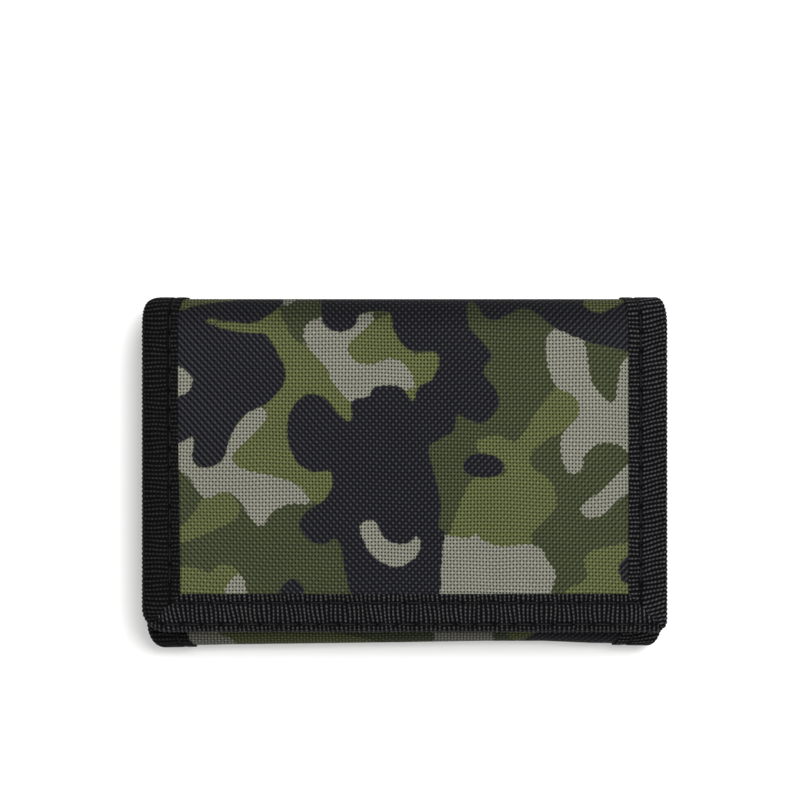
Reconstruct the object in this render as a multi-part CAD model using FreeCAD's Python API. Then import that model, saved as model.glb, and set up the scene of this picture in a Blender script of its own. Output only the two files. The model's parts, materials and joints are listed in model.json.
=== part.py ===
"""Trifold sports wallet, closed and lying on its back, in millimetres.

+X runs across the wallet, +Y towards the fold that the front flap turns on, +Z up through the
stack.  The origin is the centre of the footprint, on the surface that the wallet lies on.
From the bottom the stack is the back panel, the short inner panel folded up over it, and the
front flap folded down over both.
"""
import FreeCAD
import Part
import os

V = FreeCAD.Vector

# Driving dimensions
WIDTH = 130.0            # side to side
HEIGHT = 87.4            # fold to fold
TAPE_WIDTH = 9.5         # grosgrain binding, seen width on one side of a panel
TAPE = 0.4               # binding thickness on the faces of a panel
TAPE_WALL = 0.7          # binding thickness round the edge itself
SHELL = 0.7              # coated oxford of the outside
LINING = 0.5             # lining and pocket cloth
FLAP_END = 4.4           # distance from the lower fold up to the flap's free end
INNER_LENGTH = 60.0      # inner panel, from its fold to its free end
FOLD_INSET = 2.2         # panels stop this far inside the outer face of a fold
FOLD_WIDTH = 123.0       # width across the binding at the lower fold
CORNER = 6.0             # rounded corners at the free ends and the lower fold
LINING_SETBACK = 2.5     # the lining stops short of the shell on the bill side

# Levels through the stack, each the underside of a layer
BACK_SHELL_TOP = 1.0
BACK_LINING = 1.9
INNER_FRAME = 5.0
INNER_WINDOW = 5.5
INNER_LINING = 6.1
INNER_SHELL = 7.6
FLAP_POCKET = 11.4
FLAP_LINING = 12.9
FLAP_SHELL = 14.3

# Closure patches, zip and card pockets
PATCH_LENGTH = 70.0
PATCH_WIDTH = 20.0
PATCH_CENTRE = -16.0
LOOP_HEIGHT = 1.7
HOOK_GAP = 0.1
CARD_POCKET_TOPS = (24.0, 9.0, -6.0)
CARD_EDGE_WIDTH = 5.0
ZIP_Y = 32.0
ZIP_HALF_LENGTH = 52.0
ZIP_TAPE_HALF = 5.0
COIL_WIDTH = 1.6
COIL_HEIGHT = 1.5
COIL_GAP = 1.0
SLIDER_X = 44.0
SLIDER_LENGTH = 9.0
SLIDER_WIDTH = 7.6
PLATE = 0.7
PLATE_GAP = 0.2          # between the coils and the slider's plates
STOP_INNER = 2.8         # zip stops, from the end of the slot
STOP_OUTER = 1.2
STOP_HALF = 2.4
COIL_SETBACK = 3.0
WINDOW_LENGTH = 96.0
WINDOW_HEIGHT = 38.0
FILM = 0.3               # clear film of the window
FILM_MARGIN = 4.0
PATCH_CORNER = 2.0
INNER_SETBACK = 0.6      # the inner panel is this much narrower on each side

HALF = WIDTH / 2
TOP = HEIGHT / 2
BOTTOM = -HEIGHT / 2
PANEL_TOP = TOP - FOLD_INSET
PANEL_BOTTOM = BOTTOM + FOLD_INSET
FLAP_BOTTOM = BOTTOM + FLAP_END
INNER_TOP = BOTTOM + INNER_LENGTH
FLAP_TOP = FLAP_SHELL + SHELL


def box(x0, x1, y0, y1, z0, z1):
    """Plain block between two corners."""
    return Part.makeBox(x1 - x0, y1 - y0, z1 - z0, V(x0, y0, z0))


def sheet(half, y0, y1, z0, z1, low_corner, high_corner, inset=0.0):
    """Flat sheet centred on the YZ plane, with its lower and upper pairs of corners rounded."""
    half -= inset
    y0 += inset
    y1 -= inset
    solid = box(-half, half, y0, y1, z0, z1)
    for y, radius in ((y0, low_corner - inset), (y1, high_corner - inset)):
        if radius <= 0.2:
            continue
        edges = []
        for edge in solid.Edges:
            ends = [v.Point for v in edge.Vertexes]
            upright = abs(ends[0].z - ends[1].z) > 1e-6 and (ends[0] - ends[1]).Length < z1 - z0 + 1e-6
            if upright and abs(ends[0].y - y) < 1e-6 and abs(abs(ends[0].x) - half) < 1e-6:
                edges.append(edge)
        solid = solid.makeFillet(radius, edges)
    return solid


class Panel:
    """One flat panel: its outline, and the bindings folded over its edges."""

    def __init__(self, half, y0, y1, low_corner, high_corner):
        self.outline = (half, y0, y1)
        self.corners = (low_corner, high_corner)

    def layer(self, z0, z1, inset=TAPE_WALL):
        half, y0, y1 = self.outline
        return sheet(half, y0, y1, z0, z1, *self.corners, inset)

    def binding(self, z0, z1, keep):
        """The tape over the panel's edge from z0 to z1, where it lies inside the blocks in keep."""
        ring = self.layer(z0, z1, 0.0)
        ring = ring.cut(self.layer(z0 + TAPE, z1 - TAPE))
        ring = ring.cut(self.layer(z0 - 1, z1 + 1, TAPE_WIDTH))
        parts = [ring.common(block) for block in keep]
        return parts[0].fuse(parts[1:]).removeSplitter() if len(parts) > 1 else parts[0]


nodes = {}
INNER_SIDE = HALF - TAPE_WIDTH
FAR = 200.0


def side(sign, y0=-FAR, y1=FAR):
    """Block that holds everything within a tape's width of one side edge."""
    near, far = sorted((sign * INNER_SIDE, sign * FAR))
    return box(near, far, y0, y1, -FAR, FAR)


def cut_at(solid, y0, y1, right=FAR):
    """Trim a layer square at its folds, and on the bill side if the lining stops short there."""
    return solid.common(box(-FAR, right, y0, y1, -FAR, FAR))


LINING_RIGHT = HALF - LINING_SETBACK


CARD_RIGHT = LINING_RIGHT - TAPE_WIDTH + 2.0      # inner edge of the tape on the lining's edge


def lining_edge(y0, y1, z0, z1):
    """Tape over the lining's own edge on the bill side."""
    outer = box(CARD_RIGHT, LINING_RIGHT, y0, y1, z0, z1)
    core = box(LINING_RIGHT - TAPE_WIDTH, LINING_RIGHT - TAPE_WALL, y0 - 1, y1 + 1, z0 + TAPE, z1 - TAPE)
    return outer.cut(core)


# Back panel, with the stepped card pockets on its lining
back = Panel(HALF, PANEL_BOTTOM - FOLD_INSET, PANEL_TOP, CORNER, 0.0)
BACK_SPAN = (PANEL_BOTTOM, PANEL_TOP)
back_stack_top = BACK_LINING + LINING * (1 + len(CARD_POCKET_TOPS)) + TAPE
shell_tape_top = BACK_SHELL_TOP + TAPE
nodes["back_binding_left"] = cut_at(back.binding(0, back_stack_top, [side(-1)]), *BACK_SPAN)
nodes["back_binding_right"] = cut_at(back.binding(0, shell_tape_top, [side(1)]), *BACK_SPAN)
back_shell = cut_at(back.layer(0, BACK_SHELL_TOP), *BACK_SPAN)
for name in ("back_binding_left", "back_binding_right"):
    back_shell = back_shell.cut(nodes[name])
nodes["back_shell"] = back_shell
lining_stop = LINING_RIGHT - TAPE_WALL
nodes["back_lining"] = cut_at(back.layer(BACK_LINING, BACK_LINING + LINING), *BACK_SPAN, lining_stop)
nodes["back_lining_edge"] = lining_edge(*BACK_SPAN, BACK_LINING - TAPE, back_stack_top)
for i, top in enumerate(CARD_POCKET_TOPS):
    z = BACK_LINING + LINING * (i + 1)
    pocket = cut_at(back.layer(z, z + LINING), PANEL_BOTTOM, top - TAPE_WALL, lining_stop)
    edge = box(-INNER_SIDE, CARD_RIGHT, top - CARD_EDGE_WIDTH, top, z, z + LINING + TAPE)
    nodes["card_pocket_%d" % (i + 1)] = pocket
    nodes["card_pocket_edge_%d" % (i + 1)] = edge.cut(pocket)

# Inner panel, folded up over the back panel, with the window for an identity card on its lining
inner = Panel(HALF - INNER_SETBACK, PANEL_BOTTOM - FOLD_INSET, INNER_TOP, CORNER, CORNER)
INNER_SPAN = (PANEL_BOTTOM, FAR)
inner_low = INNER_FRAME - TAPE
inner_high = INNER_SHELL + SHELL + TAPE
end_tape = box(-FAR, FAR, INNER_TOP - TAPE_WIDTH, FAR, -FAR, FAR)
nodes["inner_binding_left"] = cut_at(inner.binding(inner_low, inner_high, [side(-1)]),
                                     PANEL_BOTTOM, INNER_TOP - TAPE_WIDTH)
nodes["inner_binding_end"] = cut_at(inner.binding(inner_low, inner_high, [end_tape]), *INNER_SPAN)
nodes["inner_binding_right"] = cut_at(inner.binding(INNER_SHELL - TAPE, inner_high, [side(1)]),
                                      PANEL_BOTTOM, INNER_TOP - TAPE_WIDTH)
nodes["inner_shell"] = cut_at(inner.layer(INNER_SHELL, INNER_SHELL + SHELL), *INNER_SPAN)
nodes["inner_lining"] = cut_at(inner.layer(INNER_LINING, INNER_LINING + LINING), *INNER_SPAN, lining_stop)
window_y = (PANEL_BOTTOM + INNER_TOP) / 2
opening = box(-WINDOW_LENGTH / 2, WINDOW_LENGTH / 2, window_y - WINDOW_HEIGHT / 2,
              window_y + WINDOW_HEIGHT / 2, -FAR, FAR)
frame_sheet = cut_at(inner.layer(INNER_FRAME, INNER_WINDOW), *INNER_SPAN, lining_stop)
nodes["window_frame"] = frame_sheet.cut(opening)
film_half = WINDOW_HEIGHT / 2 + FILM_MARGIN
nodes["id_window"] = sheet(WINDOW_LENGTH / 2 + FILM_MARGIN, window_y - film_half, window_y + film_half,
                           INNER_WINDOW, INNER_WINDOW + FILM, PATCH_CORNER, PATCH_CORNER)
nodes["inner_lining_edge"] = lining_edge(PANEL_BOTTOM, INNER_TOP - TAPE_WIDTH, inner_low,
                                         INNER_LINING + LINING + TAPE)
patch_y = (PATCH_CENTRE - PATCH_WIDTH / 2, PATCH_CENTRE + PATCH_WIDTH / 2)
loop_bottom = INNER_SHELL + SHELL
loop_top = loop_bottom + LOOP_HEIGHT
nodes["loop_patch"] = sheet(PATCH_LENGTH / 2, *patch_y, loop_bottom, loop_top, PATCH_CORNER, PATCH_CORNER)

# Front flap, with the hook patch and the zipped coin pocket on its lining
flap = Panel(HALF, FLAP_BOTTOM, PANEL_TOP, CORNER, 0.0)
FLAP_SPAN = (FLAP_BOTTOM, PANEL_TOP)
flap_low = FLAP_POCKET - TAPE
flap_high = FLAP_TOP + TAPE
flap_end = box(-INNER_SIDE, FAR, -FAR, FLAP_BOTTOM + TAPE_WIDTH, -FAR, FAR)
nodes["flap_binding_left"] = flap.binding(flap_low, flap_high, [side(-1)])
nodes["flap_binding_end"] = flap.binding(flap_low, flap_high, [flap_end])
nodes["flap_binding_right"] = flap.binding(FLAP_SHELL - TAPE, flap_high,
                                           [side(1, FLAP_BOTTOM + TAPE_WIDTH)])
nodes["flap_shell"] = cut_at(flap.layer(FLAP_SHELL, FLAP_TOP), *FLAP_SPAN)
nodes["flap_lining"] = cut_at(flap.layer(FLAP_LINING, FLAP_LINING + LINING), *FLAP_SPAN, lining_stop)
nodes["flap_lining_edge"] = lining_edge(FLAP_BOTTOM + TAPE_WIDTH, PANEL_TOP, flap_low,
                                        FLAP_LINING + LINING + TAPE)
pocket_sheet = cut_at(flap.layer(FLAP_POCKET, FLAP_POCKET + LINING), *FLAP_SPAN, lining_stop)
zip_slot = box(-ZIP_HALF_LENGTH, ZIP_HALF_LENGTH, ZIP_Y - ZIP_TAPE_HALF, ZIP_Y + ZIP_TAPE_HALF, -FAR, FAR)
nodes["coin_pocket"] = pocket_sheet.cut(zip_slot)
nodes["hook_patch"] = sheet(PATCH_LENGTH / 2, *patch_y, loop_top + HOOK_GAP, FLAP_POCKET,
                            PATCH_CORNER, PATCH_CORNER)

# Zip: two tapes, two coils, stops, and a slider whose post runs between the coils
COIL_HALF_LENGTH = ZIP_HALF_LENGTH - COIL_SETBACK
coil_low = FLAP_POCKET - COIL_HEIGHT
for name, sign in (("upper", 1), ("lower", -1)):
    tape_y = sorted((ZIP_Y + sign * COIL_GAP / 2, ZIP_Y + sign * ZIP_TAPE_HALF))
    coil_y = sorted((ZIP_Y + sign * COIL_GAP / 2, ZIP_Y + sign * (COIL_GAP / 2 + COIL_WIDTH)))
    nodes["zip_tape_%s" % name] = box(-ZIP_HALF_LENGTH, ZIP_HALF_LENGTH, *tape_y,
                                      FLAP_POCKET, FLAP_POCKET + TAPE)
    nodes["zip_coil_%s" % name] = box(-COIL_HALF_LENGTH, COIL_HALF_LENGTH, *coil_y, coil_low, FLAP_POCKET)
for name, sign in (("left", -1), ("right", 1)):
    stop_x = sorted((sign * (ZIP_HALF_LENGTH - STOP_INNER), sign * (ZIP_HALF_LENGTH - STOP_OUTER)))
    nodes["zip_stop_%s" % name] = box(*stop_x, ZIP_Y - STOP_HALF, ZIP_Y + STOP_HALF, coil_low, FLAP_POCKET)


TAIL_STEP = 1.1          # the tail is this much narrower on each side than the mouth
MOUTH_BEVEL = (1.5, 1.0)


def slider_plate(z0, z1):
    """One wing plate of the slider, wide at the mouth and narrow at the tail."""
    mouth = SLIDER_X + SLIDER_LENGTH / 2
    tail = SLIDER_X - SLIDER_LENGTH / 2
    wide = SLIDER_WIDTH / 2
    narrow = wide - TAIL_STEP
    along, across = MOUTH_BEVEL
    side_line = [(tail, narrow), (SLIDER_X, narrow), (mouth - along, wide), (mouth, wide - across)]
    points = [V(x, ZIP_Y - y, z0) for x, y in side_line]
    points += [V(x, ZIP_Y + y, z0) for x, y in reversed(side_line)]
    wire = Part.makePolygon(points + points[:1])
    return Part.Face(wire).extrude(V(0, 0, z1 - z0))


outer_plate_top = coil_low - PLATE_GAP
outer_plate_bottom = outer_plate_top - PLATE
inner_plate_bottom = FLAP_POCKET + TAPE + 0.15
POST_HALF = 0.3
POST_START = 0.5
POST_END = 4.0
post = box(SLIDER_X + POST_START, SLIDER_X + POST_END, ZIP_Y - POST_HALF, ZIP_Y + POST_HALF,
           outer_plate_bottom + PLATE / 2, inner_plate_bottom + PLATE / 2)
BAIL_HALF = 2.4
BAIL_POST = 0.8
BAIL_DROP = 1.4
BAIL_BAR = 0.5
BAIL_SIDE = 0.9
BAIL_ROOT = 0.1          # the bail is cast this far into the plate
bail_bottom = outer_plate_bottom - BAIL_DROP
bail = box(SLIDER_X - BAIL_HALF, SLIDER_X + BAIL_HALF, ZIP_Y - BAIL_SIDE, ZIP_Y + BAIL_SIDE,
           bail_bottom, outer_plate_bottom + BAIL_ROOT)
bail = bail.cut(box(SLIDER_X - BAIL_HALF + BAIL_POST, SLIDER_X + BAIL_HALF - BAIL_POST, -FAR, FAR,
                    bail_bottom + BAIL_BAR, outer_plate_bottom))
nodes["zip_slider"] = slider_plate(outer_plate_bottom, outer_plate_top).fuse(
    [slider_plate(inner_plate_bottom, inner_plate_bottom + PLATE), post, bail]).removeSplitter()

# Puller: a flat tab whose cross bar turns under the slider's bail
PULLER_PIVOT_X = SLIDER_X + 0.9
PULLER_PIVOT_Z = outer_plate_bottom - 0.45
PULLER_LENGTH = 17.0
PULLER_HALF = 2.6
PULLER_CORNER = 1.2
EYE_HALF = 1.3
EYE_END = 3.4
HOLE_RADIUS = 1.3
HOLE_SETBACK = 3.2
BAR = 0.3
tab_end = PULLER_PIVOT_X - PULLER_LENGTH
tab = box(tab_end, PULLER_PIVOT_X + BAR, ZIP_Y - PULLER_HALF, ZIP_Y + PULLER_HALF,
          PULLER_PIVOT_Z - BAR, PULLER_PIVOT_Z + BAR)
upright_edges = [e for e in tab.Edges if abs(e.Vertexes[0].Z - e.Vertexes[-1].Z) > BAR]
tab = tab.makeFillet(PULLER_CORNER, [e for e in upright_edges if e.Vertexes[0].X < SLIDER_X - SLIDER_LENGTH])
eye = box(SLIDER_X - EYE_END, PULLER_PIVOT_X - BAR, ZIP_Y - EYE_HALF, ZIP_Y + EYE_HALF, -FAR, FAR)
grip_hole = Part.makeCylinder(HOLE_RADIUS, FAR, V(tab_end + HOLE_SETBACK, ZIP_Y, -FAR / 2))
nodes["zip_puller"] = tab.cut(eye).cut(grip_hole)

# Folds: the upright cloth between two panels, and its bindings
LINING_DEPTH = 1.4       # from the outer face of a fold to the lining behind it
BINDING_DEPTH = 1.9
fold_low = BACK_SHELL_TOP + 0.6
lining_low = BACK_LINING + 0.8
for name, sign, half, fold_high, lining_high in (
        ("top", 1, HALF, FLAP_SHELL - 0.6, FLAP_LINING - 0.8),
        ("bottom", -1, FOLD_WIDTH / 2, INNER_SHELL - 0.3, INNER_LINING - 0.2)):

    def upright(x0, x1, depth0, depth1, z0, z1):
        """Block at one fold, between two depths in from its outer face."""
        y0, y1 = sorted((sign * (TOP - depth0), sign * (TOP - depth1)))
        return box(x0, x1, y0, y1, z0, z1)

    edge = half - TAPE_WIDTH
    cloth_half = half - TAPE_WALL
    nodes["%s_fold_shell" % name] = upright(-cloth_half, cloth_half, TAPE, TAPE + SHELL, fold_low, fold_high)
    nodes["%s_fold_lining" % name] = upright(-edge, edge, LINING_DEPTH, LINING_DEPTH + LINING,
                                             lining_low, lining_high)
    core = upright(-cloth_half, cloth_half, TAPE, TAPE + SHELL, -FAR, FAR)
    for place, hand in (("left", -1), ("right", 1)):
        x0, x1 = sorted((hand * edge, hand * half))
        tape = upright(x0, x1, 0.0, BINDING_DEPTH, fold_low, fold_high)
        nodes["%s_fold_binding_%s" % (name, place)] = tape.cut(core)

os.makedirs("parts", exist_ok=True)
for name, shape in nodes.items():
    assert shape.isValid() and shape.Volume > 0.1 and len(shape.Solids) == 1, name
    shape.Solids[0].exportStep("parts/%s.step" % name)
whole = Part.makeCompound(list(nodes.values())).BoundBox
print(len(nodes), "nodes", [round(v, 2) for v in (whole.XMin, whole.XMax, whole.YMin, whole.YMax,
                                                  whole.ZMin, whole.ZMax)])
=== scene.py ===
"""Looks of the trifold wallet: printed oxford cloth, ribbed bindings, stitching, zip and closure.

Lengths are worked out in millimetres in the frame's own axes and turned to metres when a mesh is
made.  The cloth is one strip, front flap - upper fold - back panel - lower fold - inner panel, and
is followed by a path in the YZ plane; a place on it is that path's point and a distance across, x.
"""
import json
import math
import bpy
import numpy as np
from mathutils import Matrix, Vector


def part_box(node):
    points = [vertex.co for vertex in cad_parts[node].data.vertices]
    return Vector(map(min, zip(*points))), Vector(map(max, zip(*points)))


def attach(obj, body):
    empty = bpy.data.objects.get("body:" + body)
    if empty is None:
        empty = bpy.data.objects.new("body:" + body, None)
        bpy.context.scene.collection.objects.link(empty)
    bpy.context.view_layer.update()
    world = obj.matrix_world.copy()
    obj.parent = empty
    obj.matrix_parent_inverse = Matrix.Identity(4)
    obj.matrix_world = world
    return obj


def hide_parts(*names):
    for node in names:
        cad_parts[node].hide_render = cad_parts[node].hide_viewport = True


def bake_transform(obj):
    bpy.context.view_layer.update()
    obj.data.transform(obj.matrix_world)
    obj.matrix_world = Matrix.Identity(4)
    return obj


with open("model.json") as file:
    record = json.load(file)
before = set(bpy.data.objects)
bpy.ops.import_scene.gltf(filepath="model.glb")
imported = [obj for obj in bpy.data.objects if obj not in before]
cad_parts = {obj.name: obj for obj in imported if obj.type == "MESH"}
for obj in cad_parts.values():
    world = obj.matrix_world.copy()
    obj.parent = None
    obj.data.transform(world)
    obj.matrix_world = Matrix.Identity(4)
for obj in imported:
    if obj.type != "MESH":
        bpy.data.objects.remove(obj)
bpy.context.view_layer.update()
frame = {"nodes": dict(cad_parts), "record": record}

MM = 0.001
rng = np.random.default_rng(7)


def span(node):
    """Lowest and highest corners of a CAD node, in millimetres."""
    low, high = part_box(node)
    return np.array(low) / MM, np.array(high) / MM


# ---- sizes, from the frame
TAPE = 0.4  # binding thickness
TAPE_WIDTH = span("flap_binding_left")[1][0] - span("flap_binding_left")[0][0]
CLOTH = span("flap_shell")[1][2] - span("flap_shell")[0][2]
LINING = span("flap_lining")[1][2] - span("flap_lining")[0][2]
HALF = -span("flap_binding_left")[0][0]
FLAP_END = span("flap_binding_end")[0][1]
FLAP_TOP = span("flap_shell")[1][2]
FLAP_STACK = FLAP_TOP - span("coin_pocket")[0][2]
UPPER_FOLD = span("top_fold_shell")[1][1]
LOWER_FOLD = span("bottom_fold_shell")[0][1]
BACK = TAPE
BACK_STACK = span("back_binding_left")[1][2] - 2 * TAPE
INNER_TOP = span("inner_shell")[1][2]
INNER_STACK = INNER_TOP - span("window_frame")[0][2]
INNER_END = span("inner_binding_end")[1][1]
LOWER_HALF = span("bottom_fold_binding_right")[1][0]
INNER_HALF = span("inner_binding_end")[1][0]
UPPER_MIDDLE = FLAP_TOP / 2
LOWER_MIDDLE = INNER_TOP / 2
FOLD_STACK = 1.9  # thickness bound where the strip folds

RIB = 1.1  # grosgrain: pitch of the ribs
RIB_HEIGHT = 0.16
BEAD = 0.9  # pitch of the warp ends that cross each rib
YARN_ACROSS = 0.815  # oxford: pitch of the yarns
YARN_ALONG = 0.87
LINING_YARN = 0.42
STITCH = 4.8


# ---- meshes
def make_mesh(name, points, faces, finish, uv=None, fields=None, sharp=50):
    mesh = bpy.data.meshes.new(name)
    mesh.from_pydata((np.asarray(points) * MM).tolist(), [], faces)
    mesh.materials.append(finish)
    if uv is not None:
        layer = mesh.uv_layers.new(name="cloth_mm")
        corner_points = np.zeros(len(mesh.loops), np.int32)
        mesh.loops.foreach_get("vertex_index", corner_points)
        layer.data.foreach_set("uv", np.asarray(uv, np.float32)[corner_points].ravel())
    for field, values in (fields or {}).items():
        mesh.attributes.new(field, "FLOAT", "POINT").data.foreach_set("value", values.astype(np.float32))
    mesh.shade_smooth()
    mesh.set_sharp_from_angle(angle=math.radians(sharp))
    mesh.validate()
    piece = bpy.data.objects.new(name, mesh)
    bpy.context.scene.collection.objects.link(piece)
    return piece


def grid_normals(grid, towards):
    """Unit normals of a grid of points, on the side that towards names."""
    down = np.gradient(grid, axis=0)
    across = np.gradient(grid, axis=1)
    normals = np.cross(down, across)
    lengths = np.linalg.norm(normals, axis=2, keepdims=True)
    towards = np.broadcast_to(towards, normals.shape)
    normals = np.where(lengths > 1e-9, normals / np.maximum(lengths, 1e-9), towards)
    middle = normals.shape[0] // 2, normals.shape[1] // 4
    if np.dot(normals[middle], towards[middle]) < 0:
        normals = -normals
    return normals


def sheet_shape(face, back, uv):
    """Points, faces and cloth places of a closed sheet between two grids; its face is what shows."""
    rows, columns = face.shape[:2]
    size = rows * columns
    index = np.arange(size).reshape(rows, columns)
    corners = index[:-1, :-1], index[:-1, 1:], index[1:, 1:], index[1:, :-1]
    quads = np.stack(corners, axis=-1).reshape(-1, 4)
    first = quads[(rows // 2) * (columns - 1) + columns // 4]
    flat = face.reshape(-1, 3)
    behind = back.reshape(-1, 3)
    turn = np.cross(flat[first[1]] - flat[first[0]], flat[first[3]] - flat[first[0]])
    outward = np.dot(turn, flat[first[0]] - behind[first[0]]) > 0
    rim = np.concatenate([index[0, :-1], index[:-1, -1], index[-1, :0:-1], index[:0:-1, 0]])
    following = np.roll(rim, -1)
    walls = np.stack([rim, following, following + size, rim + size], axis=-1)
    faces = np.concatenate([quads, quads[:, ::-1] + size, walls[:, ::-1]])
    if not outward:
        faces = faces[:, ::-1]
    uv = uv.reshape(-1, 2)
    return np.concatenate([flat, behind]), faces.tolist(), np.concatenate([uv, uv])


def thick_sheet(name, face, back, uv, finish, fields=None):
    """Closed sheet between two grids of points."""
    points, faces, uv = sheet_shape(face, back, uv)
    doubled = {key: np.tile(value.ravel(), 2) for key, value in (fields or {}).items()}
    return make_mesh(name, points, faces, finish, uv, doubled)


def rounded_path(points, radius, step, fine):
    """Line through (y, z) points with rounded corners: its places, left-hand normals and distances."""
    points = [np.array(p, float) for p in points]
    places, headings = [], []
    start = points[0]
    for i in range(1, len(points)):
        here = points[i]
        heading = (here - points[i - 1]) / np.linalg.norm(here - points[i - 1])
        last = i == len(points) - 1
        stop = here if last else here - heading * radius
        count = max(2, round(np.linalg.norm(stop - start) / step))
        for k in range(count + last):
            places.append(start + (stop - start) * k / count)
            headings.append(heading)
        if last:
            break
        turned = (points[i + 1] - here) / np.linalg.norm(points[i + 1] - here)
        centre = stop + turned * radius
        count = max(4, round(math.pi / 2 * radius / fine))
        for k in range(count):
            angle = math.pi / 2 * k / count
            places.append(centre + radius * (heading * math.sin(angle) - turned * math.cos(angle)))
            headings.append(heading * math.cos(angle) + turned * math.sin(angle))
        start = here + turned * radius
    places, headings = np.array(places), np.array(headings)
    normals = np.stack([-headings[:, 1], headings[:, 0]], axis=1)
    steps = np.linalg.norm(np.diff(places, axis=0), axis=1)
    return places, normals, np.concatenate([[0], np.cumsum(steps)])


def smooth(value, low, high):
    t = np.clip((value - low) / (high - low), 0, 1)
    return t * t * (3 - 2 * t)


def tube(line, radius, sides=6):
    """Points and faces of a closed tube along a line, with one radius or one for each point."""
    line = np.asarray(line, float)
    along = np.gradient(line, axis=0)
    along /= np.linalg.norm(along, axis=1, keepdims=True)
    helper = np.array([0.0, 0.0, 1.0]) if abs(along[0][2]) < 0.9 else np.array([1.0, 0.0, 0.0])
    first = np.cross(along, helper)
    first /= np.linalg.norm(first, axis=1, keepdims=True)
    second = np.cross(along, first)
    angles = np.arange(sides) * 2 * math.pi / sides
    circles = np.cos(angles)[:, None] * first[:, None] + np.sin(angles)[:, None] * second[:, None]
    rings = line[:, None] + np.broadcast_to(radius, len(line))[:, None, None] * circles
    faces = []
    for i in range(len(line) - 1):
        for k in range(sides):
            n = (k + 1) % sides
            faces.append([i * sides + k, i * sides + n, (i + 1) * sides + n, (i + 1) * sides + k])
    faces.append(list(range(sides))[::-1])
    faces.append([(len(line) - 1) * sides + k for k in range(sides)])
    return rings.reshape(-1, 3), faces


def gather(name, shapes, finish, sharp=50):
    """One mesh of many closed shapes, each given as points, faces and, for cloth, its cloth places."""
    points, faces, places, count = [], [], [], 0
    for shape in shapes:
        points.append(np.asarray(shape[0]))
        faces += [[i + count for i in face] for face in shape[1]]
        places += [shape[2]] if len(shape) > 2 else []
        count += len(shape[0])
    uv = np.concatenate(places) if places else None
    return make_mesh(name, np.concatenate(points), faces, finish, uv, sharp=sharp)


# ---- shader building
class Wire:
    """A shader socket that does sums: an expression on wires adds the Math nodes it needs."""

    def __init__(self, finish, socket):
        self.finish = finish
        self.socket = socket

    def __add__(self, other):
        return self.finish.sum("ADD", self, other)

    def __sub__(self, other):
        return self.finish.sum("SUBTRACT", self, other)

    def __mul__(self, other):
        return self.finish.sum("MULTIPLY", self, other)

    def __truediv__(self, other):
        return self.finish.sum("DIVIDE", self, other)

    def __rsub__(self, other):
        return self.finish.sum("SUBTRACT", other, self)

    __radd__ = __add__
    __rmul__ = __mul__


class Finish:
    """A material being built."""

    def __init__(self, name):
        self.material = bpy.data.materials.new(name)
        self.material.use_nodes = True
        self.tree = self.material.node_tree
        self.tree.nodes.clear()

    def node(self, kind, settings, inputs, output=0):
        """Adds a node with its settings made first, then its inputs, and gives one output."""
        made = self.tree.nodes.new(kind)
        for key, value in settings.items():
            setattr(made, key, value)
        for key, value in inputs.items():
            if isinstance(value, Wire):
                self.tree.links.new(value.socket, made.inputs[key])
            else:
                made.inputs[key].default_value = value
        return Wire(self, made.outputs[output]) if len(made.outputs) else None

    def sum(self, operation, *values):
        return self.node("ShaderNodeMath", {"operation": operation}, dict(enumerate(values)))

    def wave(self, turns):
        """Cosine of a number of full turns."""
        return self.sum("COSINE", turns * (2 * math.pi))

    def step(self, value, low, high):
        inputs = {"Value": value, "From Min": low, "From Max": high}
        return self.node("ShaderNodeMapRange", {"interpolation_type": "SMOOTHSTEP"}, inputs)

    def mix(self, factor, first, second):
        """Colour from first to second."""
        return self.node("ShaderNodeMix", {"data_type": "RGBA"}, {0: factor, 6: first, 7: second}, 2)

    def brighten(self, tint, factor):
        """Colour times a number."""
        tint = tint if isinstance(tint, Wire) else tint[:3]
        return self.node("ShaderNodeVectorMath", {"operation": "SCALE"}, {0: tint, 3: factor})

    def noise(self, vector, scale, detail=2.0):
        return self.node("ShaderNodeTexNoise", {}, {"Vector": vector, "Scale": scale, "Detail": detail})

    def field(self, name):
        return self.node("ShaderNodeAttribute", {"attribute_name": name}, {}, "Fac")

    def cloth_place(self):
        """The cloth's own millimetres, as a vector and as across and along."""
        place = self.node("ShaderNodeUVMap", {"uv_map": "cloth_mm"}, {})
        across = self.node("ShaderNodeSeparateXYZ", {}, {0: place}, 0)
        along = self.node("ShaderNodeSeparateXYZ", {}, {0: place}, 1)
        return place, across, along

    def place(self):
        return self.node("ShaderNodeTexCoord", {}, {}, "Object")

    def bump(self, height, distance):
        return self.node("ShaderNodeBump", {}, {"Height": height, "Distance": distance})

    def done(self, **inputs):
        """Ends the material in one Principled shader."""
        named = {key.replace("_", " "): value for key, value in inputs.items()}
        shader = self.node("ShaderNodeBsdfPrincipled", {}, named)
        self.node("ShaderNodeOutputMaterial", {}, {"Surface": shader})
        return self.material


def colour(red, green, blue):
    """Scene colour from the 0 to 255 values of a swatch."""
    def linear(v):
        v /= 255
        return v / 12.92 if v <= 0.04045 else ((v + 0.055) / 1.055) ** 2.4
    return (linear(red), linear(green), linear(blue), 1.0)


GROUND_DYE = colour(57, 63, 37)  # dark green, under the other three in this order
UPPER_DYES = {"olive_print": colour(84, 90, 50), "grey_print": colour(124, 124, 112),
              "black_print": colour(19, 19, 27)}
# Pale grey towards which the yarn crowns are mixed: a painted highlight.
YARN_SHINE = colour(150, 152, 150)
DYE_EDGE = 0.12  # half width of a printed colour's edge


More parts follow.
